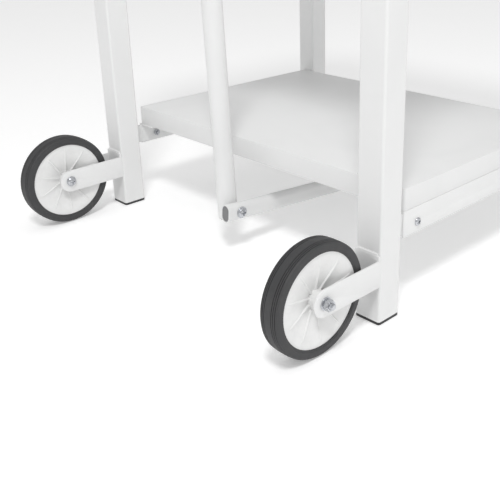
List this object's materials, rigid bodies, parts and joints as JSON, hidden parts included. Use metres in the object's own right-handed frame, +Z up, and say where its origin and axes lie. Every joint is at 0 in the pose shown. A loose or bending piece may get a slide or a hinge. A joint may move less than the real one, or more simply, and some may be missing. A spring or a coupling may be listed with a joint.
{
  "type": "rolling utility cart",
  "caption": "Rolling utility cart: square-tube frame on rear wheels and front feet, lower shelf, upper storage box, and a lid raised by a foot pedal through a lever and push rod.",
  "frame": {"origin": "on the floor, at the centre of the whole cart's footprint", "axes": "+Z up, +Y from the wheel end to the handle and pedal end, +X along the wheel axles"},
  "size_m": [0.648, 0.7494, 0.83],
  "materials": {
    "white_tube_paint": "white powder coat with a fine orange peel, satin",
    "white_sheet_paint": "white powder coat on sheet steel, satin",
    "white_plastic": "moulded white plastic, satin",
    "tyre_rubber": "black moulded rubber, matt",
    "black_plastic": "black moulded plastic, matt",
    "grey_plastic": "grey moulded plastic, matt",
    "grey_rubber": "dark grey rubber, matt",
    "nylon": "natural nylon",
    "zinc": "bright zinc-plated steel"
  },
  "bodies": {
    "frame": {"leg_rear_left": "white_tube_paint", "leg_rear_right": "white_tube_paint", "leg_front_left": "white_tube_paint", "leg_front_right": "white_tube_paint", "foot_caps": "black_plastic", "fork_left": "white_tube_paint", "fork_right": "white_tube_paint", "leg_brackets": "white_tube_paint", "side_rail_left": "white_tube_paint", "side_rail_right": "white_tube_paint", "rail_bolts": "zinc", "rail_nuts": "zinc", "lower_shelf": "white_sheet_paint", "shelf_stiffener": "white_sheet_paint", "shelf_screws": "zinc", "pedal_hanger": "white_tube_paint", "hanger_screws": "zinc", "fulcrum_bolt": "zinc", "fulcrum_nut": "zinc", "top_rail_left": "white_tube_paint", "top_rail_right": "white_tube_paint", "top_rail_front": "white_tube_paint", "top_rail_rear": "white_tube_paint", "storage_box": "white_sheet_paint", "box_screws": "zinc", "lid_bumpers": "grey_rubber", "hinge_plates": "white_tube_paint", "hinge_bolts": "zinc", "handle_brackets": "white_tube_paint", "handle_bar": "white_tube_paint", "handle_caps": "grey_plastic", "handle_grip": "grey_rubber", "handle_screws": "zinc", "axle_bolt_left": "zinc", "axle_bolt_right": "zinc", "axle_nuts": "zinc", "axle_washers": "zinc"},
    "left_wheel": {"wheel_disc_left": "white_plastic", "tyre_left": "tyre_rubber", "hub_bush_left": "nylon"},
    "right_wheel": {"wheel_disc_right": "white_plastic", "tyre_right": "tyre_rubber", "hub_bush_right": "nylon"},
    "lever": {"pedal_lever": "white_tube_paint", "lever_plug": "grey_plastic", "lever_bush": "nylon", "pedal_plate": "white_tube_paint", "pedal_pad": "grey_rubber", "lap_bolt": "zinc", "lap_washer": "zinc", "lap_nut": "zinc"},
    "rod": {"push_rod": "white_tube_paint", "rod_plugs": "grey_plastic", "rod_pin": "zinc"},
    "lid": {"lid": "white_sheet_paint", "lid_lugs": "white_tube_paint", "lid_crank": "white_tube_paint", "lid_stiffener": "white_sheet_paint"}
  },
  "joints": [
    {"name": "left_wheel_spin", "type": "hinge", "parent": "frame", "child": "left_wheel", "pos_m": [-0.2905, -0.30175, 0.073], "axis": [1, 0, 0], "continuous": true},
    {"name": "right_wheel_spin", "type": "hinge", "parent": "frame", "child": "right_wheel", "pos_m": [0.2905, -0.30175, 0.073], "axis": [1, 0, 0], "continuous": true},
    {"name": "lid_open", "type": "hinge", "parent": "frame", "child": "lid", "pos_m": [0, -0.23375, 0.82], "axis": [1, 0, 0], "range_deg": [0, 65]},
    {"name": "pedal_press", "type": "hinge", "parent": "frame", "child": "lever", "pos_m": [0.011, 0.06625, 0.0446], "axis": [-1, 0, 0], "range_deg": [0, 9.2]},
    {"name": "rod_swing", "type": "hinge", "parent": "lever", "child": "rod", "pos_m": [-0.0135, -0.17975, 0.0645], "axis": [1, 0, 0], "range_deg": [0, 9.6]}
  ],
  "couplings": [
    {"joint": "pedal_press", "follows": "lid_open", "ratio": 0.14077},
    {"joint": "rod_swing", "follows": "lid_open", "ratio": 0.1464}
  ]
}
